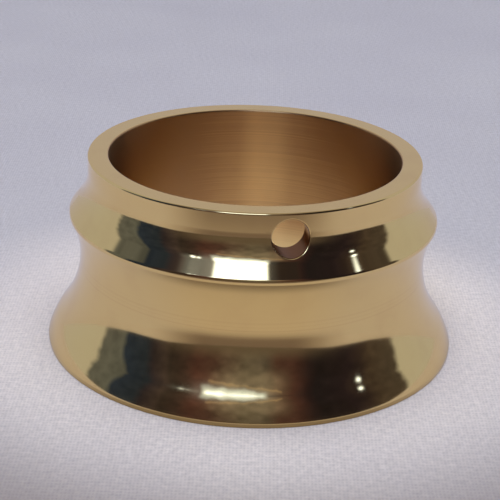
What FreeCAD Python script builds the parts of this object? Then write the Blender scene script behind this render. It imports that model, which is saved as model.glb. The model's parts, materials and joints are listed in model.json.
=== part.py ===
"""A ring-shaped guitar slide, turned in one piece from a bar of brass.

The frame: +Z is the ring's axis and points from the flared foot to the rim. The origin is the
centre of the flat foot face. The drilled side hole looks along -Y. Sizes are millimetres.
"""
import FreeCAD, Part
import math
import os

import Sketcher

NODE = "slide_body"

# Driving sizes: name, value, what it is on the ring.
SIZES = [
    ("bore_diameter", 21.0, "straight bore that a finger goes through"),
    ("ring_height", 14.0, "foot face to rim face"),
    ("foot_diameter", 30.0, "outside of the flared foot"),
    ("lip_height", 0.3, "upright lip at the foot's outer edge"),
    ("lip_round_radius", 6.6, "swelling of the flare just above the lip"),
    ("cove_radius", 7.9, "hollow of the skirt, from the flare up to the waist"),
    ("waist_height", 6.6, "height of the narrowest place of the skirt"),
    ("waist_diameter", 25.2, "outside diameter at the waist"),
    ("bead_height", 9.7, "height of the bead's nose"),
    ("bead_diameter", 26.7, "outside diameter over the bead's nose"),
    ("bead_nose_radius", 0.4, "rounding of the bead's nose"),
    ("flank_angle", 37.5, "degrees between the bead's upper flank and the axis"),
    ("neck_cove_radius", 3.2, "hollow between the bead's flank and the neck"),
    ("rim_diameter", 24.0, "outside of the neck and of the rim"),
    ("rim_edge_radius", 0.15, "rounding of the rim's two edges"),
    ("foot_bore_edge_radius", 0.3, "rounding of the bore's edge in the foot face"),
    ("side_hole_diameter", 2.5, "hole drilled from the side through the neck"),
    ("side_hole_height", 12.3, "height of the side hole's centre line"),
    ("side_hole_edge_radius", 0.1, "edge break at the side hole's mouth"),
]

doc = FreeCAD.newDocument("guitar_slide")


def make_sheet():
    """Put every driving size in a sheet cell of its own, under its own name."""
    sheet = doc.addObject("Spreadsheet::Sheet", "sizes")
    for row, (name, value, meaning) in enumerate(SIZES, start=1):
        sheet.set(f"A{row}", name)
        sheet.set(f"B{row}", str(value))
        sheet.set(f"C{row}", meaning)
        sheet.setAlias(f"B{row}", name)
    doc.recompute()
    return sheet


def origin_plane(body, role):
    """The body's own origin plane with this role, such as XZ_Plane."""
    return next(plane for plane in body.Origin.OriginFeatures if plane.Role == role)


def new_sketch(body, name, role):
    """An empty sketch on one of the body's origin planes."""
    sketch = body.newObject("Sketcher::SketchObject", name)
    sketch.AttachmentSupport = [(origin_plane(body, role), "")]
    sketch.MapMode = "FlatFace"
    return sketch


def dimension(sketch, name, expression, *constraint):
    """Add a named dimension whose value follows the sheet."""
    index = sketch.addConstraint(Sketcher.Constraint(*constraint))
    sketch.renameConstraint(index, name)
    sketch.setExpression(f"Constraints.{name}", expression)


def arc(centre, radius, start_angle, end_angle):
    """A counter-clockwise arc in the sketch plane, its angles in radians."""
    circle = Part.Circle(FreeCAD.Vector(*centre, 0), FreeCAD.Vector(0, 0, 1), radius)
    return Part.ArcOfCircle(circle, start_angle, end_angle)


def line(start, end):
    """A straight line in the sketch plane."""
    return Part.LineSegment(FreeCAD.Vector(*start, 0), FreeCAD.Vector(*end, 0))


def draw_section(sketch, sheet):
    """Draw half of the ring's section: x is the radius and y the height above the foot face.

    The outline is drawn where it belongs, and the constraints and the sheet's sizes then hold it.
    """
    bore = sheet.bore_diameter / 2
    foot = sheet.foot_diameter / 2
    waist = sheet.waist_diameter / 2
    bead = sheet.bead_diameter / 2
    rim = sheet.rim_diameter / 2
    nose = sheet.bead_nose_radius
    flank = math.radians(sheet.flank_angle)

    # Where two arcs that curve opposite ways touch, their centres are both radii apart. The
    # swelling's centre is therefore the far corner of a triangle on the lip and the hollow's centre.
    swell = sheet.lip_round_radius
    hollow_centre = (waist + sheet.cove_radius, sheet.waist_height)
    reach = math.hypot(hollow_centre[0] - foot, hollow_centre[1] - sheet.lip_height)
    bearing = math.atan2(hollow_centre[1] - sheet.lip_height, hollow_centre[0] - foot)
    radii = swell + sheet.cove_radius
    opening = math.acos((swell**2 + reach**2 - radii**2) / (2 * swell * reach))
    lip_slope = bearing + opening - math.pi
    swell_centre = (foot - swell * math.cos(lip_slope), sheet.lip_height - swell * math.sin(lip_slope))
    skirt_angle = math.asin((hollow_centre[1] - swell_centre[1]) / radii)

    bead_rise = sheet.bead_height - sheet.waist_height
    bead_step = bead - waist
    bead_radii = (bead_rise**2 + bead_step**2) / (2 * bead_step)
    shoulder_radius = bead_radii - nose
    bead_angle = math.asin(bead_rise / bead_radii)

    flank_start = (bead - nose + nose * math.cos(flank), sheet.bead_height + nose * math.sin(flank))
    neck_cove = sheet.neck_cove_radius
    flank_end_radius = rim + neck_cove * (1 - math.cos(flank))
    flank_drop = (flank_start[0] - flank_end_radius) / math.tan(flank)
    flank_end = (flank_end_radius, flank_start[1] + flank_drop)
    neck_height = flank_end[1] + neck_cove * math.sin(flank)
    neck_centre = (rim + neck_cove, neck_height)

    outline = [
        line((bore, 0), (foot, 0)),
        line((foot, 0), (foot, sheet.lip_height)),
        arc(swell_centre, swell, lip_slope, skirt_angle),
        arc(hollow_centre, sheet.cove_radius, math.pi, math.pi + skirt_angle),
        arc((waist + shoulder_radius, sheet.waist_height), shoulder_radius, math.pi - bead_angle, math.pi),
        arc((bead - nose, sheet.bead_height), nose, -bead_angle, flank),
        line(flank_start, flank_end),
        arc(neck_centre, neck_cove, math.pi, math.pi + flank),
        line((rim, neck_height), (rim, sheet.ring_height)),
        line((rim, sheet.ring_height), (bore, sheet.ring_height)),
        line((bore, sheet.ring_height), (bore, 0)),
    ]
    foot_face, lip, lip_round, skirt, shoulder, nose_round = range(6)
    upper_flank, cove, neck, rim_face, wall = range(6, 11)
    sketch.addGeometry(outline, False)

    start, end, centre = 1, 2, 3
    origin = -1
    tangent_joints = [
        (lip_round, end, skirt, end),
        (skirt, start, shoulder, end),
        (shoulder, start, nose_round, start),
        (nose_round, end, upper_flank, start),
        (upper_flank, end, cove, end),
        (cove, start, neck, start),
    ]
    corners = [
        (foot_face, end, lip, start),
        (lip, end, lip_round, start),
        (neck, end, rim_face, start),
        (rim_face, end, wall, start),
        (wall, end, foot_face, start),
    ]
    for joint in tangent_joints:
        sketch.addConstraint(Sketcher.Constraint("Tangent", *joint))
    for joint in corners:
        sketch.addConstraint(Sketcher.Constraint("Coincident", *joint))
    for upright in (lip, neck, wall):
        sketch.addConstraint(Sketcher.Constraint("Vertical", upright))
    sketch.addConstraint(Sketcher.Constraint("Horizontal", rim_face))
    sketch.addConstraint(Sketcher.Constraint("PointOnObject", foot_face, start, origin))
    sketch.addConstraint(Sketcher.Constraint("PointOnObject", foot_face, end, origin))
    sketch.addConstraint(Sketcher.Constraint("Horizontal", skirt, centre, skirt, start))

    def height_of(name, expression, geometry, point, value):
        dimension(sketch, name, expression, "DistanceY", origin, start, geometry, point, value)

    def radius_of(name, expression, geometry, point, value):
        dimension(sketch, name, expression, "DistanceX", origin, start, geometry, point, value)

    radius_of("bore_r", "sizes.bore_diameter / 2", wall, start, bore)
    radius_of("foot_r", "sizes.foot_diameter / 2", lip, start, foot)
    radius_of("waist_r", "sizes.waist_diameter / 2", skirt, start, waist)
    radius_of("bead_centre_r", "sizes.bead_diameter / 2 - sizes.bead_nose_radius",
              nose_round, centre, bead - nose)
    radius_of("rim_r", "sizes.rim_diameter / 2", neck, end, rim)
    height_of("lip_top", "sizes.lip_height", lip, end, sheet.lip_height)
    height_of("waist_level", "sizes.waist_height", skirt, start, sheet.waist_height)
    height_of("bead_level", "sizes.bead_height", nose_round, centre, sheet.bead_height)
    height_of("rim_level", "sizes.ring_height", neck, end, sheet.ring_height)
    dimension(sketch, "lip_round_r", "sizes.lip_round_radius", "Radius", lip_round, swell)
    dimension(sketch, "skirt_r", "sizes.cove_radius", "Radius", skirt, sheet.cove_radius)
    dimension(sketch, "nose_r", "sizes.bead_nose_radius", "Radius", nose_round, nose)
    dimension(sketch, "neck_cove_r", "sizes.neck_cove_radius", "Radius", cove, neck_cove)
    dimension(sketch, "flank", "sizes.flank_angle", "Angle", neck, start, upper_flank, start, flank)


def round_edges(body, name, expression, belongs):
    """Round every edge of the body's last feature for which belongs(edge) is true."""
    base = body.Tip
    edges = [f"Edge{n}" for n, edge in enumerate(base.Shape.Edges, start=1) if belongs(edge)]
    if not edges:
        raise RuntimeError(f"{name} finds no edge")
    fillet = body.newObject("PartDesign::Fillet", name)
    fillet.Base = (base, edges)
    fillet.setExpression("Radius", expression)
    doc.recompute()
    return fillet


def is_ring_edge(edge, radius, height):
    """True for a full circle about the axis with this radius at this height."""
    if not isinstance(edge.Curve, Part.Circle):
        return False
    same_height = math.isclose(edge.Curve.Center.z, height, abs_tol=1e-4)
    return same_height and math.isclose(edge.Curve.Radius, radius, abs_tol=1e-4)


def make_slide_body(sheet):
    """The whole ring: a turned section, a hole drilled through the neck, and broken edges."""
    body = doc.addObject("PartDesign::Body", NODE)
    body.Label = NODE

    section = new_sketch(body, "ring_section", "XZ_Plane")
    draw_section(section, sheet)
    doc.recompute()
    if not section.FullyConstrained:
        raise RuntimeError("the ring's section is not fully constrained")

    ring = body.newObject("PartDesign::Revolution", "turned_ring")
    ring.Profile = section
    ring.ReferenceAxis = (section, ["V_Axis"])
    ring.Angle = 360.0
    doc.recompute()

    # The hole's sketch lies in the XZ plane, through the axis. The cut runs from there to the
    # outside on the -Y side only, so that the far wall stays whole.
    mouth = new_sketch(body, "side_hole_circle", "XZ_Plane")
    circle = Part.Circle(FreeCAD.Vector(0, sheet.side_hole_height, 0), FreeCAD.Vector(0, 0, 1),
                         sheet.side_hole_diameter / 2)
    mouth.addGeometry(circle, False)
    mouth.addConstraint(Sketcher.Constraint("PointOnObject", 0, 3, -2))
    dimension(mouth, "hole_level", "sizes.side_hole_height",
              "DistanceY", -1, 1, 0, 3, sheet.side_hole_height)
    dimension(mouth, "hole_r", "sizes.side_hole_diameter / 2", "Radius", 0, sheet.side_hole_diameter / 2)
    doc.recompute()
    hole = body.newObject("PartDesign::Pocket", "side_hole")
    hole.Profile = mouth
    hole.setExpression("Length", "sizes.rim_diameter")
    hole.Reversed = True
    doc.recompute()

    wall = (sheet.rim_diameter - sheet.bore_diameter) / 2
    drilled = ring.Shape.Volume - hole.Shape.Volume
    expected = math.pi * (sheet.side_hole_diameter / 2) ** 2 * wall
    if not math.isclose(drilled, expected, rel_tol=0.05):
        raise RuntimeError(f"the side hole removes {drilled:.3f} mm3, not about {expected:.3f}")
    if hole.Shape.CenterOfGravity.y <= ring.Shape.CenterOfGravity.y:
        raise RuntimeError("the side hole is not on the -Y side")

    rim = sheet.rim_diameter / 2
    bore = sheet.bore_diameter / 2
    round_edges(body, "rim_edges", "sizes.rim_edge_radius",
                lambda edge: is_ring_edge(edge, rim, sheet.ring_height)
                or is_ring_edge(edge, bore, sheet.ring_height))
    round_edges(body, "foot_bore_edge", "sizes.foot_bore_edge_radius",
                lambda edge: is_ring_edge(edge, bore, 0))
    hole_reach = sheet.side_hole_diameter / 2 + 0.01

    def is_hole_mouth(edge):
        box = edge.BoundBox
        outside = box.YMax < -(rim + bore) / 2
        narrow = box.XMin > -hole_reach and box.XMax < hole_reach
        return outside and narrow and box.ZMin > sheet.side_hole_height - hole_reach

    round_edges(body, "side_hole_edge", "sizes.side_hole_edge_radius", is_hole_mouth)
    body.Placement = FreeCAD.Placement(FreeCAD.Vector(0, 0, 0), FreeCAD.Rotation(0, 0, 0))
    doc.recompute()
    return body


def check_document():
    """Stop if any object of the document failed to compute."""
    for item in doc.Objects:
        failed = [state for state in item.State if state in ("Invalid", "Error")]
        if failed:
            raise RuntimeError(f"{item.Name} is {failed}")


def main():
    sheet = make_sheet()
    bodies = [make_slide_body(sheet)]
    check_document()
    os.makedirs("parts", exist_ok=True)
    for body in bodies:
        shape = body.Shape
        if shape.isNull() or not shape.isValid() or len(shape.Solids) != 1:
            raise RuntimeError(f"{body.Label} is not one valid solid")
        box = shape.optimalBoundingBox(False)
        print(f"{body.Label}: {box.XLength:.2f} x {box.YLength:.2f} x {box.ZLength:.2f} mm,"
              f" {shape.Volume:.1f} mm3, {len(shape.Faces)} faces")
        shape.exportStep(f"parts/{body.Label}.step")


main()
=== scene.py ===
# %% [markdown]
# # A ring-shaped guitar slide in polished brass
# The slide is one ring of brass, turned on a lathe: a flared foot, a hollow skirt, a bead, a neck and a
# flat rim, with a straight finger bore and one small hole drilled through the neck. Its shape was settled
# in CAD. This lesson makes the same ring as one smooth surface, because a mirror polish shows every facet
# of an ordinary mesh, and then gives it the finish that a lathe and a polishing wheel leave.

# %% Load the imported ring, the fixed frame that everything here is built around
import json
import math

import bpy
import numpy as np
from mathutils import Matrix, Vector


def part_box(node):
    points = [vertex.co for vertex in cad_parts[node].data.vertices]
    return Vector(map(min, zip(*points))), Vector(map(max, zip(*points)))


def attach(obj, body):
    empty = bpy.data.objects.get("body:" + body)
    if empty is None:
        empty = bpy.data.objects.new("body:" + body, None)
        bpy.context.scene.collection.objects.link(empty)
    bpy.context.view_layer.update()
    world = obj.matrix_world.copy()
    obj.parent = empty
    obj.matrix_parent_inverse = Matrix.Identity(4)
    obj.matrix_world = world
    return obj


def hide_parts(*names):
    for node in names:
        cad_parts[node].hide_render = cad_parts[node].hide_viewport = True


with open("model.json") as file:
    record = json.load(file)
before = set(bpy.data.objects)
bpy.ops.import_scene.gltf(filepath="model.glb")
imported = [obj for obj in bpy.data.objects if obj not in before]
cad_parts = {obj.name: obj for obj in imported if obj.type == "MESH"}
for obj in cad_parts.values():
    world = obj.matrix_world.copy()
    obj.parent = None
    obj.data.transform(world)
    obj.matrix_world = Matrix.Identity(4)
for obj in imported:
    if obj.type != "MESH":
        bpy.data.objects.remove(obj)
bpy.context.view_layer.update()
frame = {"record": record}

# %% [markdown]
# ## Sizes
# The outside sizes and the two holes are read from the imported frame, so they can't drift from the CAD
# part. The turner's own sizes, such as the hollow's radius, aren't in the frame, so they are named here,
# in metres.

# %% Sizes read from the frame, and the turner's sizes
MM = 0.001
NODE = "slide_body"
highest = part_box(NODE)[1]
mounts = {mount["name"]: mount for mount in frame["record"]["mounts"]}

HEIGHT = highest.z
FOOT_R = highest.x
BORE_R = mounts["finger_bore"]["dims"]["r_mm"] * MM
HOLE_R = mounts["side_hole"]["dims"]["r_mm"] * MM
HOLE_Z = mounts["side_hole"]["pos_m"][2]

RIM_R = 12.0 * MM
LIP_HEIGHT = 0.3 * MM
SWELL_R = 6.6 * MM
COVE_R = 7.9 * MM
WAIST_Z = 6.6 * MM
WAIST_R = 12.6 * MM
BEAD_Z = 9.7 * MM
BEAD_R = 13.35 * MM
NOSE_R = 0.4 * MM
FLANK = math.radians(37.5)
NECK_COVE_R = 3.2 * MM
RIM_EDGE_R = 0.15 * MM
FOOT_BORE_EDGE_R = 0.3 * MM
FOOT_EDGE_R = 0.06 * MM
LIP_EDGE_R = 0.3 * MM
HOLE_EDGE_R = 0.1 * MM
HOLE_BACK_EDGE_R = 0.05 * MM
print(f"foot {FOOT_R / MM:.2f} mm radius, height {HEIGHT / MM:.2f} mm, bore {BORE_R / MM:.2f} mm radius")

# %% [markdown]
# ## The ring's section
# A turned part is one outline carried round an axis. The outline here is a chain of straight runs and
# arcs that touch without a corner, which is how a form tool cuts it. Each run gives its points and, more
# important for a mirror finish, the exact direction that the surface faces at each of them. A guessed
# direction, averaged from the faces, would make the reflections waver.

# %% Straight runs and arcs, each with its exact facing directions
QUARTER = math.pi / 2


def run(start, end, count):
    """Points on a straight line, start + t (end - start), facing to the right of the way it goes."""
    share = np.linspace(0, 1, count)[:, None]
    start, end = np.array(start), np.array(end)
    along = (end - start) / np.linalg.norm(end - start)
    facing = np.array([along[1], -along[0]])
    return np.hstack([start + share * (end - start), np.tile(facing, (count, 1))])


def bulge(centre, radius, first, last, count):
    """Points on a convex arc, centre + radius (cos a, sin a): it faces away from its centre."""
    angle = np.linspace(first, last, count)
    facing = np.column_stack([np.cos(angle), np.sin(angle)])
    return np.hstack([np.array(centre) + radius * facing, facing])


def hollow(centre, radius, first, last, count):
    """Points on a concave arc, centre - radius (cos a, sin a): it faces towards its centre."""
    angle = np.linspace(first, last, count)
    facing = np.column_stack([np.cos(angle), np.sin(angle)])
    return np.hstack([np.array(centre) - radius * facing, facing])


def touching(rise, step):
    """Two arcs that curve opposite ways touch where their radii lie in line. For a given rise and step
    between their ends, the radii add up to (rise^2 + step^2) / (2 step), and the slope where they touch
    is the angle whose sine is rise over that sum."""
    total = (rise**2 + step**2) / (2 * step)
    return total, math.asin(rise / total)


def swelling(lip, swell, hollow_centre, cove):
    """An arc of radius swell from the lip that touches the hollow: its centre, the lip and the hollow's
    centre are a triangle with sides swell, swell + cove and the lip's distance from the hollow's centre.
    Gives the centre, the slope at the lip and the slope where the two arcs touch."""
    away = Vector(hollow_centre) - Vector(lip)
    corner = math.acos((swell**2 + away.length**2 - (swell + cove) ** 2) / (2 * swell * away.length))
    lip_slope = math.atan2(away.y, away.x) + corner - math.pi
    centre = Vector(lip) - swell * Vector((math.cos(lip_slope), math.sin(lip_slope)))
    return centre, lip_slope, math.asin((hollow_centre[1] - centre.y) / (swell + cove))


print("a quarter turn is", round(QUARTER, 4), "radians")

# %% The outside: lip, skirt, waist, shoulder and the bead's nose
cove_centre = (WAIST_R + COVE_R, WAIST_Z)
swell_centre, lip_slope, skirt_slope = swelling((FOOT_R, LIP_HEIGHT), SWELL_R, cove_centre, COVE_R)
lip_edge_z = LIP_HEIGHT - LIP_EDGE_R * math.tan(lip_slope / 2)
lip_edge_top = math.asin((lip_edge_z + LIP_EDGE_R * math.sin(lip_slope) - swell_centre.y) / SWELL_R)
shoulder_total, shoulder_slope = touching(BEAD_Z - WAIST_Z, BEAD_R - WAIST_R)
shoulder_r = shoulder_total - NOSE_R

outside = np.vstack([
    bulge((FOOT_R - FOOT_EDGE_R, FOOT_EDGE_R), FOOT_EDGE_R, -QUARTER, 0, 6),
    run((FOOT_R, FOOT_EDGE_R), (FOOT_R, lip_edge_z), 3)[1:],
    bulge((FOOT_R - LIP_EDGE_R, lip_edge_z), LIP_EDGE_R, 0, lip_slope, 5)[1:],
    bulge(swell_centre, SWELL_R, lip_edge_top, skirt_slope, 20)[1:],
    hollow(cove_centre, COVE_R, skirt_slope, 0, 34)[1:],
    hollow((WAIST_R + shoulder_r, WAIST_Z), shoulder_r, 0, -shoulder_slope, 16)[1:],
    bulge((BEAD_R - NOSE_R, BEAD_Z), NOSE_R, -shoulder_slope, FLANK, 16)[1:],
])
print(f"slopes: {math.degrees(lip_slope):.1f} degrees at the lip, {math.degrees(skirt_slope):.1f} at most")

# %% The bead's flank and the neck, up to the rim's edge
flank_low = (BEAD_R - NOSE_R + NOSE_R * math.cos(FLANK), BEAD_Z + NOSE_R * math.sin(FLANK))
flank_high_r = RIM_R + NECK_COVE_R * (1 - math.cos(FLANK))
flank_high = (flank_high_r, flank_low[1] + (flank_low[0] - flank_high_r) / math.tan(FLANK))
neck_z = flank_high[1] + NECK_COVE_R * math.sin(FLANK)
neck = np.vstack([
    run(flank_low, flank_high, 5),
    hollow((RIM_R + NECK_COVE_R, neck_z), NECK_COVE_R, FLANK, 0, 17)[1:],
    run((RIM_R, neck_z), (RIM_R, HEIGHT - RIM_EDGE_R), 7)[1:],
])
print(f"the neck is straight from {neck_z / MM:.2f} mm")

# %% The rim, the bore and the foot, which close the outline
rim = np.vstack([
    bulge((RIM_R - RIM_EDGE_R, HEIGHT - RIM_EDGE_R), RIM_EDGE_R, 0, QUARTER, 9),
    run((RIM_R - RIM_EDGE_R, HEIGHT), (BORE_R + RIM_EDGE_R, HEIGHT), 5)[1:],
    bulge((BORE_R + RIM_EDGE_R, HEIGHT - RIM_EDGE_R), RIM_EDGE_R, QUARTER, 2 * QUARTER, 9)[1:],
])
WINDOW_FIRST = 3                                   # the neck's row where the hole's window starts
window_rows = len(neck) - 1 - WINDOW_FIRST
bore_top = 13.75 * MM                              # the window's ends on the bore
bore_low = 10.8 * MM
bore = np.vstack([
    run((BORE_R, HEIGHT - RIM_EDGE_R), (BORE_R, bore_top), 2),
    run((BORE_R, bore_top), (BORE_R, bore_low), window_rows + 1)[1:],
    run((BORE_R, bore_low), (BORE_R, FOOT_BORE_EDGE_R), 14)[1:],
])
foot = np.vstack([
    bulge((BORE_R + FOOT_BORE_EDGE_R, FOOT_BORE_EDGE_R), FOOT_BORE_EDGE_R, 2 * QUARTER, 3 * QUARTER, 8),
    run((BORE_R + FOOT_BORE_EDGE_R, 0), (FOOT_R - FOOT_EDGE_R, 0), 5)[1:],
])
section = np.vstack([outside, neck[1:], rim[1:], bore[1:], foot[1:-1]])
rows = len(section)
print(f"the section is a closed outline of {rows} points")

# %% [markdown]
# ## Carrying the section round, with room for the side hole
# The ring is a grid: one way it follows the section, the other way it goes round the axis. The side hole
# breaks that grid. Cutting it with a boolean would leave long thin triangles that show as scratches in
# the polish, so the grid leaves out a small window on the -Y side, and loops of points turn the window's
# outline into the hole's circle. The same loops go on through the wall and open out again on the bore, so
# the whole ring is one closed skin.

# %% The grid round the axis
AROUND = 384
angles = 2 * math.pi * np.arange(AROUND) / AROUND - QUARTER


def turned(radius, height, face_r, face_z, angle):
    """A point of a turned surface and where it faces: the section's radius and height, carried round
    to an angle: (r cos a, r sin a, z), facing (fr cos a, fr sin a, fz)."""
    level = np.zeros_like(angle)
    east, north = np.cos(angle), np.sin(angle)
    points = np.stack(np.broadcast_arrays(radius * east, radius * north, height + level), -1)
    facing = np.stack(np.broadcast_arrays(face_r * east, face_r * north, face_z + level), -1)
    return points, facing


grid_points, grid_facing = turned(*(column[:, None] for column in section.T), angles[None, :])
print("grid of", rows, "by", AROUND, "points")

# %% The window's outline on the outside, and the one that faces it in the bore
HALF_WIDTH = 9                                     # columns each side of the hole's middle
outer_low = len(outside) - 1 + WINDOW_FIRST
outer_high = len(outside) + len(neck) - 2
inner_high = outer_high + len(rim)
inner_low = inner_high + window_rows
across = np.arange(-HALF_WIDTH, HALF_WIDTH)


def outline(low, high):
    """The grid points round a window, anticlockwise as the outside sees it: along the low row, up the
    right column, back along the high row and down the left column."""
    step = 1 if high > low else -1
    up = np.arange(low, high, step)
    row = np.concatenate([np.full_like(across, low), up, np.full_like(across, high), up[::-1] + step])
    column = np.concatenate([across, np.full_like(up, HALF_WIDTH), -across, np.full_like(up, -HALF_WIDTH)])
    return row * AROUND + column % AROUND


outer_outline, inner_outline = outline(outer_low, outer_high), outline(inner_low, inner_high)
all_points, all_facing = grid_points.reshape(-1, 3), grid_facing.reshape(-1, 3)
print("each window's outline has", len(outer_outline), "points; on the outside it goes from height",
      f"{section[outer_low, 1] / MM:.2f} to {section[outer_high, 1] / MM:.2f} mm")

# %% [markdown]
# ## The side hole
# The hole is drilled straight along the Y axis. On the outside its edge is broken by 0.1 mm so that it
# doesn't cut a finger. Each loop of points is a step on the way: flat across the neck towards the circle,
# round the broken edge, along the drilled wall, and out over the bore.

# %% Loops on the outside, from the window to the hole's broken edge
PATCH_LOOPS = 8
border = all_points[outer_outline]
turn = np.arctan2(border[:, 2] - HOLE_Z, border[:, 0])
ray_x, ray_z = np.cos(turn), np.sin(turn)
wall_rows = section[len(outside) - 1:outer_high + 1]


def on_neck(x, z):
    """A point of the neck seen straight on at x and height z: it lies at y = -sqrt(r(z)^2 - x^2), where
    r(z) is the section's radius at that height."""
    radius = np.interp(z, wall_rows[:, 1], wall_rows[:, 0])
    face_r = np.interp(z, wall_rows[:, 1], wall_rows[:, 2])
    face_z = np.interp(z, wall_rows[:, 1], wall_rows[:, 3])
    angle = np.arctan2(-np.sqrt(radius**2 - x**2), x)
    return turned(radius, z, face_r, face_z, angle)


def on_bore(x, z):
    """A point of the bore seen straight on: y = -sqrt(R^2 - x^2), facing the axis."""
    angle = np.arctan2(-np.sqrt(BORE_R**2 - x**2), x)
    return turned(BORE_R, z, -1.0, 0.0, angle)


def towards(border, circle_x, circle_z, share, surface):
    """Points between a window's outline and a circle, border + share (circle - border) in x and z, laid
    on the surface."""
    x = border[:, 0] + share * (circle_x - border[:, 0])
    z = border[:, 2] + share * (circle_z - border[:, 2])
    return surface(x, z)


edge_x, edge_z = (HOLE_R + HOLE_EDGE_R) * ray_x, HOLE_Z + (HOLE_R + HOLE_EDGE_R) * ray_z
loops = [towards(border, edge_x, edge_z, k / PATCH_LOOPS, on_neck) for k in range(1, PATCH_LOOPS + 1)]
outer_y, outer_facing = loops[-1][0][:, 1], loops[-1][1]
print("first loops:", len(loops))

# %% Loops round the broken edge and along the drilled wall
EDGE_LOOPS = 6
WALL_LOOPS = 6
BACK_EDGE_LOOPS = 4
inward = np.column_stack([-ray_x, np.zeros_like(ray_x), -ray_z])


def drilled(radius, y):
    """A loop of the hole: (radius cos a, y, hole height + radius sin a)."""
    return np.column_stack([radius * ray_x, y + np.zeros_like(ray_x), HOLE_Z + radius * ray_z])


def rounded(face_a, face_b, bend):
    """A direction between two, cos(bend) a + sin(bend) b, at length 1."""
    facing = math.cos(bend) * face_a + math.sin(bend) * face_b
    return facing / np.linalg.norm(facing, axis=1)[:, None]


for bend in np.linspace(0, QUARTER, EDGE_LOOPS)[1:]:
    radius = HOLE_R + HOLE_EDGE_R * (1 - math.sin(bend))
    depth = HOLE_EDGE_R * (1 - math.cos(bend))
    loops.append((drilled(radius, outer_y + depth), rounded(outer_facing, inward, bend)))
back_x, back_z = (HOLE_R + HOLE_BACK_EDGE_R) * ray_x, HOLE_Z + (HOLE_R + HOLE_BACK_EDGE_R) * ray_z
back_points, back_facing = on_bore(back_x, back_z)
front_y, back_y = outer_y + HOLE_EDGE_R, back_points[:, 1] - HOLE_BACK_EDGE_R
for share in np.linspace(0, 1, WALL_LOOPS)[1:]:
    loops.append((drilled(HOLE_R, front_y + share * (back_y - front_y)), inward))
for bend in np.linspace(0, QUARTER, BACK_EDGE_LOOPS)[1:-1]:
    radius = HOLE_R + HOLE_BACK_EDGE_R * (1 - math.cos(bend))
    depth = back_y + HOLE_BACK_EDGE_R * math.sin(bend)
    loops.append((drilled(radius, depth), rounded(inward, back_facing, bend)))
loops.append((back_points, back_facing))
wall = back_y - front_y
print(f"the drilled wall is {wall.min() / MM:.2f} to {wall.max() / MM:.2f} mm long")

# %% Loops over the bore, out to the inner window
inner_border = all_points[inner_outline]
for k in range(PATCH_LOOPS - 1, 0, -1):
    loops.append(towards(inner_border, back_x, back_z, k / PATCH_LOOPS, on_bore))
loop_points = np.concatenate([points for points, _ in loops])
loop_facing = np.concatenate([facing for _, facing in loops])
print(len(loops), "loops through the hole")

# %% [markdown]
# ## One closed skin
# The grid's quads leave out the two windows, and the loops' quads join them. Every edge must belong to
# exactly two faces, and that is checked here; the volume, which must be the CAD part's, is worked out.

# %% Quads of the grid, less the two windows
row_index, column_index = np.meshgrid(np.arange(rows), np.arange(AROUND), indexing="ij")
next_row, next_column = (row_index + 1) % rows, (column_index + 1) % AROUND
quads = np.stack([row_index * AROUND + column_index, row_index * AROUND + next_column,
                  next_row * AROUND + next_column, next_row * AROUND + column_index], -1)
signed_column = (column_index + AROUND // 2) % AROUND - AROUND // 2
beside = (signed_column >= -HALF_WIDTH) & (signed_column < HALF_WIDTH)
in_window = beside & (((row_index >= outer_low) & (row_index < outer_high))
                      | ((row_index >= inner_high) & (row_index < inner_low)))
quads = quads[~in_window]
print("the grid keeps", len(quads), "quads and leaves out", in_window.sum())

# %% Quads through the hole, from the outer window's outline to the inner one's
count = len(outer_outline)
chain = np.vstack([outer_outline, len(all_points) + np.arange(len(loops) * count).reshape(-1, count),
                   inner_outline])
following = np.roll(chain, -1, axis=1)
hole_quads = np.stack([chain[:-1], following[:-1], following[1:], chain[1:]], -1).reshape(-1, 4)

points = np.concatenate([all_points, loop_points])
facing = np.concatenate([all_facing, loop_facing])
used, faces = np.unique(np.concatenate([quads, hole_quads]), return_inverse=True)
faces = faces.reshape(-1, 4)
points, facing = points[used], facing[used]
print(len(faces), "quads and", len(points), "points")

# %% The checks: closed and facing outwards, and the volume worked out
edges = np.stack([faces, np.roll(faces, -1, axis=1)], -1).reshape(-1, 2)
both_ways = np.unique(np.concatenate([edges, edges[:, ::-1]]), axis=0)
triangles = np.concatenate([faces[:, [0, 1, 2]], faces[:, [0, 2, 3]]])
a, b, c = (points[triangles[:, k]] for k in range(3))
volume = np.einsum("ij,ij->i", a, np.cross(b, c)).sum() / 6
flat_facing = np.cross(b - a, c - a)
agree = np.einsum("ij,ij->i", flat_facing, facing[triangles[:, 0]]) > 0
print("closed:", len(both_ways) == len(edges), f"volume {volume / MM**3:.1f} mm3,",
      f"{(~agree).sum()} of {len(agree)} triangles face away from their own direction")

# %% The mesh
mesh = bpy.data.meshes.new("slide_ring")
mesh.from_pydata(points.tolist(), [], faces.tolist())
mesh.polygons.foreach_set("use_smooth", np.ones(len(faces), dtype=bool))
mesh.normals_split_custom_set_from_vertices(facing.tolist())
mesh.validate()
mesh.update()
ring = bpy.data.objects.new("slide_ring", mesh)
bpy.context.scene.collection.objects.link(ring)
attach(ring, "root")
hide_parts(NODE)
print("ring in the scene,", len(mesh.polygons), "faces")

# %% [markdown]
# ## Writing shader maths as sums
# A material is a web of nodes. Written out one node at a time it hides the sum that it does, so a small
# class wraps a socket and lets Python's own operators add the Math nodes. Every other node comes from one
# method that takes the node's type, its settings and its inputs.

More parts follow.
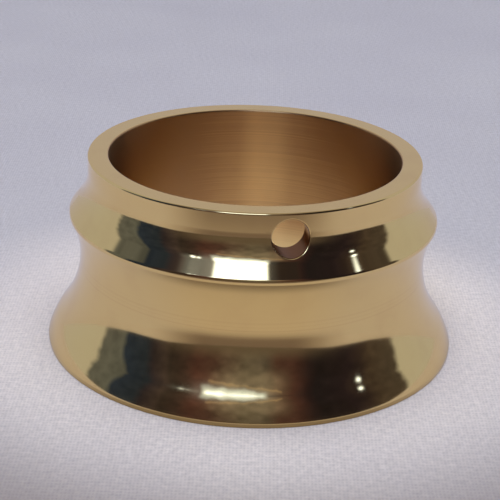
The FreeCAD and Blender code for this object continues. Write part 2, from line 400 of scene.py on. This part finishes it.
# %% A socket that can be added, multiplied and compared
class Socket:
    """A node's output. An expression on Sockets and numbers adds the Math nodes that work it out."""

    def __init__(self, graph, output):
        self.graph, self.output = graph, output

    def math(self, operation, *others):
        return self.graph.node("ShaderNodeMath", {"operation": operation}, dict(enumerate((self, *others))))

    def __add__(self, other): return self.math("ADD", other)
    def __radd__(self, other): return self.math("ADD", other)
    def __sub__(self, other): return self.math("SUBTRACT", other)
    def __rsub__(self, other): return self.graph.node(
        "ShaderNodeMath", {"operation": "SUBTRACT"}, {0: other, 1: self})
    def __mul__(self, other): return self.math("MULTIPLY", other)
    def __rmul__(self, other): return self.math("MULTIPLY", other)
    def __truediv__(self, other): return self.math("DIVIDE", other)
    def __gt__(self, other): return self.math("GREATER_THAN", other)
    def __lt__(self, other): return self.math("LESS_THAN", other)

    def __getitem__(self, name):
        return Socket(self.graph, self.output.node.outputs[name])


class Graph:
    """The nodes of one material or world."""

    def __init__(self, tree):
        self.tree = tree
        tree.nodes.clear()

    def node(self, kind, settings=None, inputs=None, output=0):
        """A node of one kind. Settings come first, because they decide which sockets it has."""
        made = self.tree.nodes.new(kind)
        for name, value in (settings or {}).items():
            if name == "stops":
                ramp = made.color_ramp.elements
                for k, (place, colour) in enumerate(value):
                    stop = ramp[k] if k < len(ramp) else ramp.new(place)
                    stop.position, stop.color = place, colour
            else:
                setattr(made, name, value)
        for name, value in (inputs or {}).items():
            if isinstance(value, Socket):
                self.tree.links.new(value.output, made.inputs[name])
            else:
                made.inputs[name].default_value = value
        return Socket(self, made.outputs[output]) if made.outputs else made

    def blend(self, share, start, end):
        """A colour between two: start where share is 0, end where it is 1."""
        return self.node("ShaderNodeMix", {"data_type": "RGBA"}, {0: share, 6: start, 7: end}, 2)

    def step(self, value, low, high):
        """0 below low, 1 above high, and an S-shaped rise between them."""
        return self.node("ShaderNodeMapRange", {"interpolation_type": "SMOOTHSTEP"},
                         {"Value": value, "From Min": low, "From Max": high})

    def dot(self, vector, axis):
        """How far a vector goes along an axis."""
        return self.node("ShaderNodeVectorMath", {"operation": "DOT_PRODUCT"},
                         {0: vector, 1: tuple(axis)}, "Value")

    def noise(self, scale, detail=2.0, **inputs):
        """Soft noise: along one line where it is given w, else through the vector."""
        line = {"noise_dimensions": "1D"} if "W" in inputs else {}
        return self.node("ShaderNodeTexNoise", line, {"Scale": scale, "Detail": detail, **inputs})


def shade(red, green, blue):
    """A screen colour, 0 to 255, as the light it stands for."""
    screen = np.array([red, green, blue]) / 255
    light = np.where(screen <= 0.04045, screen / 12.92, ((screen + 0.055) / 1.055) ** 2.4)
    return (*light.tolist(), 1.0)


print("a mid grey on screen is", round(shade(128, 128, 128)[0], 3), "in light")

# %% [markdown]
# ## Polished brass
# Brass takes its colour from its reflections: it returns most of the red, less of the green and a third
# of the blue, and has no colour of its own beneath. The outside was buffed to a mirror. The bore was only
# reamed, so it keeps fine tool lines round it and looks satin. Its colour also carries painted light: a
# lighter band up its wall that is a painted reflection of the window, painted shade beside it, and painted
# light bounced from the sheeting near the foot. The drilled hole's wall is painted shade. The rim and the
# foot were faced, which leaves fine rings. Each could be a material of its own, but one material that
# tells them apart by where the metal is keeps the ring what it is, a single piece of metal.

# %% The brasses: polished, the bore's painted light and shade, the drilled hole's painted shade, under haze and in a pit
BRASS = (0.88, 0.645, 0.275, 1.0)
# The bore's lit and shaded brasses: painted light and painted shade in the metal's colour.
BORE_LIT_BRASS = (0.80, 0.53, 0.22, 1.0)
BORE_SHADED_BRASS = (0.49, 0.29, 0.13, 1.0)
# Painted light, bounced from the sheeting, on the bore near the foot.
BORE_FOOT_LIT_BRASS = (0.96, 0.76, 0.36, 1.0)
# The drilled hole's wall: a dark brown that is painted shade.
HOLE_SHADE_BRASS = (0.22, 0.09, 0.03, 1.0)
HAZE_BRASS = (0.82, 0.58, 0.25, 1.0)
PIT_BROWN = (0.12, 0.08, 0.05, 1.0)
print("polished brass returns", BRASS[:3], "of red, green and blue")

# %% Where the metal is: in the bore, in the drilled hole, on the rim or the foot
brass = bpy.data.materials.new("polished_brass")
brass.use_nodes = True
metal = Graph(brass.node_tree)
place = metal.node("ShaderNodeTexCoord", output="Object")
xyz = metal.node("ShaderNodeSeparateXYZ", {}, {0: place})
x, y, z = xyz["X"], xyz["Y"], xyz["Z"]
radius = (x * x + y * y).math("SQRT")
from_hole = (x * x + (z - HOLE_Z) * (z - HOLE_Z)).math("SQRT")
in_bore = metal.step(radius, BORE_R + 0.12 * MM, BORE_R + 0.03 * MM)
in_hole = (from_hole < HOLE_R + 0.03 * MM) * (y < 0) * (radius > BORE_R + 0.05 * MM)
faced = (z > HEIGHT - 0.01 * MM).math("MAXIMUM", z < 0.01 * MM)
print("masks for the bore, the drilled hole and the faced ends:", len(brass.node_tree.nodes), "nodes")

# %% Tool lines: noise along the way the tool travelled, the same all the way round
FINE_PER_METRE, COARSE_PER_METRE, DRILL_PER_METRE = 9000, 2200, 6000
travel = z - radius
fine_lines = metal.noise(1.0, 3.0, W=travel * FINE_PER_METRE)
coarse_lines = metal.noise(1.0, 2.0, W=travel * COARSE_PER_METRE)
drift = metal.noise(160, 3.0, Vector=place)
haze = metal.noise(420, 4.0, Vector=place)
cloud = metal.step(haze, 0.45, 0.75)

above_skirt = metal.step(z, WAIST_Z - 1.6 * MM, WAIST_Z - 0.9 * MM)
below_shoulder = metal.step(z, WAIST_Z + 0.3 * MM, WAIST_Z)
waist_lines = above_skirt * below_shoulder * metal.step(coarse_lines, 0.5, 0.62)
print("tool lines about", round(1000 / FINE_PER_METRE, 2), "and",
      round(1000 / COARSE_PER_METRE, 2), "mm apart")

# %% Specks: a few pinpricks of dirt and pitting on the polish
CELLS_PER_METRE = 420
CLEAN_SHARE = 0.94
scatter = {"Vector": place, "Scale": CELLS_PER_METRE, "Randomness": 1.0}
from_middle = metal.node("ShaderNodeTexVoronoi", {"feature": "F1"}, scatter, "Distance")
chance = metal.node("ShaderNodeTexVoronoi", {"feature": "F1"}, scatter, "Color")
pitted = metal.node("ShaderNodeSeparateColor", {}, {0: chance}, "Red") > CLEAN_SHARE
speck = pitted * metal.step(from_middle, 0.055, 0.03)
print("cells of", round(1000 / CELLS_PER_METRE, 1), "mm, and a speck in one of", round(1 / (1 - CLEAN_SHARE)))

# %% Roughness: mirror outside, satin in the bore, with haze and lines
outer_rough = 0.06 + cloud * 0.02 + speck * 0.3
bore_rough = 0.30 + coarse_lines * 0.1
faced_rough = 0.12 + fine_lines * 0.06
rough = outer_rough * (1 - in_bore) * (1 - faced) + bore_rough * in_bore + faced_rough * faced * (1 - in_bore)
rough = rough * (1 - in_hole) + in_hole * 0.3
print("roughness goes from 0.06 on the polish to about 0.35 in the bore")

# %% The bore's tones: a painted reflection of the window as a lighter band up the wall, painted shade beside it, darker towards the rim, and painted light bounced from the sheeting at the foot
# The band up the bore is a painted reflection of the window; this turn and place set where it lies.
REFLECTION_BAND_TURN = math.radians(-12)                      # the way across the bore that the band is placed by
REFLECTION_BAND_PLACE = 0.08                                  # of the radius to the right of the far wall's middle
bore_side = (x * math.cos(REFLECTION_BAND_TURN) + y * math.sin(REFLECTION_BAND_TURN)) / radius
beside_reflection_band = (bore_side - REFLECTION_BAND_PLACE).math("ABSOLUTE")
bore_lines_and_shade = fine_lines * 0.6 + coarse_lines * 0.35 + drift * 0.9 - 0.75
# Painted shade beside the painted reflection band.
bore_lines_and_shade = bore_lines_and_shade + metal.step(beside_reflection_band, 0.06, 0.24) * 0.4 + metal.step(beside_reflection_band, 0.2, 0.95) * 0.8
# Darker towards the rim.
bore_lines_and_shade = bore_lines_and_shade + metal.step(z, 8 * MM, 14 * MM) * 0.35
bore_colour = metal.blend(bore_lines_and_shade, BORE_LIT_BRASS, BORE_SHADED_BRASS)
# Paler at the foot: painted light bounced from the sheeting.
bore_colour = metal.blend(metal.step(z, 5 * MM, 1.5 * MM), bore_colour, BORE_FOOT_LIT_BRASS)
print("the bore goes from", BORE_LIT_BRASS[:3], "in the band to", BORE_SHADED_BRASS[:3], "beside it")

# %% Colour: hazy patches and lines at the waist, then the bore, the drilled hole's painted shade and the specks
colour = metal.blend(cloud * 0.5 + waist_lines * 0.8, BRASS, HAZE_BRASS)
colour = metal.blend(in_bore, colour, bore_colour)
# The drilled hole's wall is painted shade.
colour = metal.blend(in_hole, colour, HOLE_SHADE_BRASS)
colour = metal.blend(speck * 0.7, colour, PIT_BROWN)
print("haze takes the brass to", HAZE_BRASS[:3])

# %% Relief: what the tool left, a fraction of a micron outside and some microns in the bore
MICRON = MM / 1000
outer_relief = (fine_lines * 0.03 + coarse_lines * 0.08 + waist_lines * 0.6) * (1 - in_bore)
bore_relief = (fine_lines * 4.5 + coarse_lines * 2.5) * in_bore
drill_relief = in_hole * metal.noise(1.0, 2.0, W=y * DRILL_PER_METRE) * 3.0
relief = (outer_relief + bore_relief + drill_relief) * MICRON
bump = metal.node("ShaderNodeBump", {}, {"Strength": 1.0, "Distance": 1.0, "Height": relief})
finish = metal.node("ShaderNodeBsdfPrincipled", {}, {
    "Base Color": colour, "Metallic": 1.0, "Roughness": rough, "Normal": bump,
    "Anisotropic": 0.8, "Anisotropic Rotation": 0.25})
metal.node("ShaderNodeOutputMaterial", {}, {"Surface": finish})
mesh.materials.append(brass)
print("brass material of", len(brass.node_tree.nodes), "nodes")

# %% [markdown]
# ## The stage
# A plain pale sheeting lies under the slide. Its weave is real detail at the right size, about two
# threads to half a millimetre, and it is what tells the eye that the slide is small. It could be real
# threads, but at this size a pattern of waves in the material, with slubs, looks the same and costs far
# less. Its tones also carry painted light: a pool round the ring, and shade towards the front and where
# creased.

# %% The camera's heading, which the sheeting and the studio are squared up to
HEADING = math.radians(-12.0)
CAMERA_OUT = 95.35 * MM
CAMERA_UP = 46.37 * MM
rightward = Vector((math.cos(HEADING), math.sin(HEADING), 0))
nearward = Vector((math.sin(HEADING), -math.cos(HEADING), 0))
print("camera heading", round(math.degrees(HEADING), 1), "degrees")

# %% The pale sheeting
FLOOR_HALF = 1.5
floor_mesh = bpy.data.meshes.new("studio_floor")
floor_mesh.from_pydata([(-FLOOR_HALF, -FLOOR_HALF, 0), (FLOOR_HALF, -FLOOR_HALF, 0),
                        (FLOOR_HALF, FLOOR_HALF, 0), (-FLOOR_HALF, FLOOR_HALF, 0)], [], [(0, 1, 2, 3)])
floor = bpy.data.objects.new("studio_floor", floor_mesh)
bpy.context.scene.collection.objects.link(floor)

print("sheeting", 2 * FLOOR_HALF, "m square")

# %% The weave: two waves at right angles, wandering a little, with slubs where a thread is thick
DEGREES = 180 / math.pi
THREAD_ACROSS, THREAD_ALONG = 0.237 * MM, 0.332 * MM
cloth = bpy.data.materials.new("pale_sheeting")
cloth.use_nodes = True
weave = Graph(cloth.node_tree)
spot = weave.node("ShaderNodeTexCoord", output="Object")
wander = weave.noise(900, 2.0, Vector=spot)
across_cloth = weave.dot(spot, rightward)
along_cloth = weave.dot(spot, nearward)
warp = (across_cloth * (2 * math.pi / THREAD_ACROSS) + wander * 2.5).math("COSINE")
weft = (along_cloth * (2 * math.pi / THREAD_ALONG) + wander * 2.5).math("COSINE")
threads = warp * 0.5 + weft * 0.35 + warp * weft * 0.4
slub = weave.noise(2500, 3.0, Vector=spot)
cloth_tone = 0.5 + threads * 0.14 + (slub - 0.5)
cloth_relief = (threads + slub * 2) * (0.02 * MM)
INCH = 25.4 * MM
print("sheeting of", round(INCH / THREAD_ACROSS), "by", round(INCH / THREAD_ALONG), "threads an inch")

# %% The sheeting's tones: a painted pool of light round the ring, painted shade that is warmer and dimmer towards the front, painted shade where the sheeting is creased
from_ring = (across_cloth * across_cloth + along_cloth * along_cloth).math("SQRT")
crease_shade = weave.noise(55, 3.0, Vector=spot)
# Painted shade, warm and dim, towards the front.
floor_front_shade = weave.step(along_cloth, 0.002, 0.032)
base = weave.blend(floor_front_shade, shade(209, 205, 205), shade(160, 147, 134))
# A painted pool of light round the ring.
base = weave.blend(weave.step(from_ring, 0.029, 0.016), base, shade(251, 241, 232))
# Painted shade where the sheeting is creased.
base = weave.blend((crease_shade - 0.5) * 0.5 + 0.15, base, shade(175, 170, 180))
base = weave.blend(cloth_tone * 0.55 - 0.05, base, shade(120, 116, 126))
cloth_bump = weave.node("ShaderNodeBump", {}, {"Strength": 0.5, "Distance": 1.0, "Height": cloth_relief})
cloth_finish = weave.node("ShaderNodeBsdfPrincipled", {}, {
    "Base Color": base, "Roughness": 0.9, "Specular IOR Level": 0.1, "Normal": cloth_bump})
weave.node("ShaderNodeOutputMaterial", {}, {"Surface": cloth_finish})
floor_mesh.materials.append(cloth)
floor.visible_glossy = False
print("sheeting material of", len(cloth.node_tree.nodes), "nodes")

# %% [markdown]
# ## The sheeting that the polish sees
# What a mirror shows of the cloth depends on where the cloth ends, and a floor without an end would fill
# half of every reflection. So the polish sees a smaller sheeting of its own. It ends about a hand's width
# off, in a low fold that is lower in front and beside the ring.

# %% A dish: rings about the axis, with a fold that rises near the edge
DISH_R, FOLD_START, FOLD_HEIGHT = 64 * MM, 46 * MM, 5.4 * MM
DISH_RINGS, DISH_SPOKES = 48, 144
ABOVE_FLOOR = 0.02 * MM


def eased(share):
    """A share from 0 to 1 that starts and ends gently, s^2 (3 - 2 s)."""
    return share**2 * (3 - 2 * share)


ring_share, turn_share = np.meshgrid(np.linspace(0, 1, DISH_RINGS + 1),
                                     np.linspace(-math.pi, math.pi, DISH_SPOKES + 1), indexing="ij")
dish_r = ring_share * DISH_R
side_degrees = np.degrees(np.abs(turn_share))
rise = np.clip((dish_r - FOLD_START) / (DISH_R - FOLD_START), 0, 1)
off_front = np.clip((side_degrees - 5) / 45, 0, 1)
beside_ring = np.clip((side_degrees - 45) / 25, 0, 1)
fold_height = FOLD_HEIGHT * (0.65 + 0.35 * eased(off_front) - 0.4 * beside_ring)
dish_z = fold_height * eased(rise) + ABOVE_FLOOR
print(f"the fold is {fold_height.min() / MM:.1f} to {fold_height.max() / MM:.1f} mm high")

# %% The dish's mesh, which only reflections see
out_x = np.sin(turn_share) * rightward.x + np.cos(turn_share) * nearward.x
out_y = np.sin(turn_share) * rightward.y + np.cos(turn_share) * nearward.y
dish_points = np.stack([dish_r * out_x, dish_r * out_y, dish_z], -1).reshape(-1, 3)
ring_step = DISH_SPOKES + 1
corner = (np.arange(DISH_RINGS)[:, None] * ring_step + np.arange(DISH_SPOKES)).ravel()
dish_faces = np.stack([corner, corner + ring_step, corner + ring_step + 1, corner + 1], -1)
dish_mesh = bpy.data.meshes.new("sheeting_in_polish")
dish_mesh.from_pydata(dish_points.tolist(), [], dish_faces.tolist())
dish = bpy.data.objects.new("sheeting_in_polish", dish_mesh)
bpy.context.scene.collection.objects.link(dish)
dish.visible_camera = dish.visible_diffuse = dish.visible_shadow = False
print("dish of", len(dish_faces), "faces")

# %% Its tones: painted warm light in front, painted shade where the ring shades it, under the lip and far in front; painted light inside the bore
near_cloth = bpy.data.materials.new("sheeting_in_polish")
near_cloth.use_nodes = True
near = Graph(near_cloth.node_tree)
place_on = near.node("ShaderNodeTexCoord", output="Object")
near_across, near_along = near.dot(place_on, rightward), near.dot(place_on, nearward)
near_side = near_across.math("ARCTAN2", near_along).math("ABSOLUTE") * DEGREES
near_far = (near_across * near_across + near_along * near_along).math("SQRT")
# Painted shade far in front.
dish_far_shade = near.step(near_far, 30 * MM, 52 * MM) * near.step(near_side, 58, 22)
# Painted warm light in front.
near_light_and_shade = near.blend(near.step(near_side, 15, 60), shade(197, 187, 182), shade(195, 190, 197))
near_light_and_shade = near.blend(dish_far_shade, near_light_and_shade, shade(122, 110, 110))
# Painted light on the sheeting inside the bore.
near_light_and_shade = near.blend(near.step(near_far, BORE_R + 1 * MM, BORE_R), near_light_and_shade, shade(250, 244, 246))
# A painted contact shadow just under the lip.
lip_contact_shadow = near.step(near_far, 17.5 * MM, 15.2 * MM) * near.step(near_far, 13 * MM, 14 * MM)
near_light_and_shade = near.blend(lip_contact_shadow * near.step(near_side, 65, 25) * 0.6, near_light_and_shade, shade(110, 100, 96))
near_finish = near.node("ShaderNodeBsdfPrincipled", {}, {
    "Base Color": near_light_and_shade, "Roughness": 0.9, "Specular IOR Level": 0.1})
near.node("ShaderNodeOutputMaterial", {}, {"Surface": near_finish})
dish_mesh.materials.append(near_cloth)
print("its material has", len(near_cloth.node_tree.nodes), "nodes")

# %% [markdown]
# ## The studio that the mirror sees
# A mirror polish shows the room, not itself. The studio is a white wrap behind and beside the slide, a
# darker room in front with a bright window high up, and a grey ceiling that is paler overhead. It could
# be built of walls and lamps, but painted on the world by direction, in degrees round from the camera and
# up from the floor, it stays soft and costs nothing.

# %% Directions as degrees round and degrees up, exact and loosened by noise
world = bpy.data.worlds.new("soft_studio")
world.use_nodes = True
bpy.context.scene.world = world
room = Graph(world.node_tree)
looking = room.node("ShaderNodeTexCoord", output="Generated")
sideways = room.dot(looking, rightward)
forward = room.dot(looking, nearward)
upward = room.node("ShaderNodeSeparateXYZ", {}, {0: looking}, "Z")
wobble = room.noise(2.6, 4.0, Vector=looking) - 0.5
ripple = room.noise(9.0, 3.0, Vector=looking) - 0.5
around = sideways.math("ARCTAN2", forward) * DEGREES
up = upward.math("ARCSINE") * DEGREES
loose_around = around + wobble * 10 + ripple * 4
loose_up = up + wobble * 6 + ripple * 5
print("the studio is drawn in degrees: 0 is the camera's side, 90 up is overhead")

# %% A soft panel of light or shade
def panel(left, right, low, high, blur=2.0, side=None, level=None):
    """1 inside a rectangle of directions, 0 outside, with soft edges."""
    side, level = side or around, level or up
    return (room.step(side, left - blur, left + blur) * room.step(side, right + blur, right - blur)
            * room.step(level, low - blur, low + blur) * room.step(level, high + blur, high - blur))


print("panels are soft rectangles of directions")

# %% The dim room in front, as one ramp of colours from the left side to the right
LEFT, RIGHT = -100, 100
hangings = [
    (-97, (96, 104, 122)), (-79, (88, 97, 114)), (-76, (38, 50, 80)), (-63, (40, 50, 74)),
    (-59, (50, 48, 66)), (-51, (70, 64, 76)), (-47, (56, 52, 60)), (-38, (64, 54, 62)),
    (-30, (82, 60, 68)), (-20, (84, 66, 74)), (-12, (108, 98, 106)), (-2, (108, 106, 112)),
    (10, (100, 98, 106)), (18, (84, 64, 70)), (30, (72, 53, 60)), (37, (46, 38, 50)),
    (42, (35, 33, 45)), (62, (38, 33, 46)), (70, (50, 44, 52)), (78, (68, 62, 66)), (97, (74, 71, 76))]
stops = [((angle - LEFT) / (RIGHT - LEFT), shade(*tint)) for angle, tint in hangings]
dim = room.node("ShaderNodeValToRGB", {"stops": stops}, {0: (loose_around - LEFT) / (RIGHT - LEFT)}, "Color")
dim = room.blend(panel(-16, 22, 22, 80, 9.0, loose_around, loose_up) * 0.6, dim, shade(140, 138, 146))
mottle = 1 + ripple * 1.1 + wobble * 0.8
dim = room.node("ShaderNodeVectorMath", {"operation": "SCALE"}, {0: dim, "Scale": mottle})
dim = room.blend(panel(13, 36, 43, 53, 2.5), dim, shade(46, 42, 50))
dim = room.blend(panel(-5, 5, 34, 38, 1.5) * 0.5, dim, shade(70, 66, 68))
print(len(hangings), "stops round the room")

# %% The white wrap behind and beside
back_light = room.blend(room.step(up, 0, 60), shade(182, 180, 190), shade(186, 184, 194))
side_light = shade(182, 188, 205)
wrap = room.blend(room.step(around.math("ABSOLUTE"), 165, 115), back_light, side_light)
leaning = around.math("ABSOLUTE") - 0.1 * up + ripple * 5
view = room.blend(room.step(leaning, 93, 98), dim, wrap)
print("the wrap starts about 95 degrees from the camera's side")

# %% The window, brighter above its sill, with a streak below it and a glow round it
WINDOW = (3.0, 3.9, 6.4, 1.0)
WINDOW_LOW = (0.72, 0.95, 1.55, 1.0)
sill = up - 0.13 * around + ripple * 8
panes = room.blend(room.step(sill, 42, 48), WINDOW_LOW, WINDOW)
view = room.blend(panel(-24, 22, 34.5, 36.5, 0.8, around, sill) * 0.3, view, shade(226, 206, 190))
view = room.blend(panel(-50, -26, 46, 62, 6.0, around, sill) * 0.22, view, WINDOW_LOW)
view = room.blend(panel(-28, 12, 39.5, 62, 2.5, around, sill), view, panes)
view = room.blend(panel(-34, 16, 38, 62, 7.0, around, sill) * 0.10, view, WINDOW_LOW)
print("the window is", round(WINDOW[1] / shade(186, 185, 193)[1], 1), "times as bright as the wrap")

# %% The small lamps and the ceiling
lamps = [(-43, 42, 1.6), (-39, 43, 1.2), (70, 28, 1.2), (75, 36, 1.6)]
for side, level, size in lamps:
    view = room.blend(panel(side - size, side + size, level - size, level + size, 1.5), view, WINDOW)
view = room.blend(room.step(up, 57, 64), view, shade(125, 123, 128))
view = room.blend(room.step(up, 70, 82), view, shade(182, 180, 188))
print(len(lamps), "small lamps")

# %% Low down in front it is dim, past the edge of the sheeting
view = room.blend(panel(-60, 60, 8, 25, 5.0) * 0.25, view, shade(30, 26, 28))
view = room.blend(room.step(up, 14, -3) * panel(-42, 42, -90, 90, 22.0), view, shade(98, 92, 94))
view = room.blend(room.step(up, -20, -40), view, shade(180, 177, 180))

BACKDROP = shade(186, 184, 192)
camera_ray = room.node("ShaderNodeLightPath", output="Is Camera Ray")
view = room.blend(camera_ray, view, BACKDROP)
sky = room.node("ShaderNodeBackground", {}, {"Color": view, "Strength": 1.0})
room.node("ShaderNodeOutputWorld", {}, {"Surface": sky})
print("world of", len(world.node_tree.nodes), "nodes")

# %% [markdown]
# ## Light and camera
# One large soft light hangs high over the slide and lifts the sheeting. It is kept out of reflections, so
# it leaves no spot in the polish. The camera is a long lens, because a short one so near would make the
# ring's front look too large.

# %% A soft light overhead
lamp = bpy.data.lights.new("overhead_softbox", "AREA")
lamp.shape, lamp.size = "SQUARE", 0.30             # metres
lamp.energy = 0.86                                 # watts
lamp_object = bpy.data.objects.new("overhead_softbox", lamp)
lamp_object.location = (0, 0, 0.35)
lamp_object.visible_glossy = False
bpy.context.scene.collection.objects.link(lamp_object)
print("softbox", round(lamp.size, 2), "m square,", round(lamp.energy, 2), "W")

# %% The camera, a long lens a hand's breadth away
CAMERA_DOWN = math.radians(22.72)
CAMERA_ROLL = math.radians(2.025)
CAMERA_TURN = math.radians(0.09)
spin = Matrix.Rotation(CAMERA_TURN, 3, "Z")
flat_look = spin @ -nearward
look = (math.cos(CAMERA_DOWN) * flat_look - Vector((0, 0, math.sin(CAMERA_DOWN)))).normalized()
level_right = look.cross(Vector((0, 0, 1))).normalized()
level_up = level_right.cross(look)
camera_right = math.cos(CAMERA_ROLL) * level_right + math.sin(CAMERA_ROLL) * level_up
camera_up = math.cos(CAMERA_ROLL) * level_up - math.sin(CAMERA_ROLL) * level_right
turned_to = Matrix((camera_right, camera_up, -look)).transposed().to_4x4()
turned_to.translation = nearward * CAMERA_OUT + Vector((0, 0, CAMERA_UP))
camera_data = bpy.data.cameras.new("studio_camera")
camera_data.lens, camera_data.sensor_width = 100.7, 36.0
camera_data.clip_start = 0.005
camera = bpy.data.objects.new("studio_camera", camera_data)
camera.matrix_world = turned_to
bpy.context.scene.collection.objects.link(camera)
bpy.context.scene.camera = camera
bpy.context.scene.view_settings.view_transform = "Standard"
print("camera at", [round(v / MM, 1) for v in camera.location], "mm")
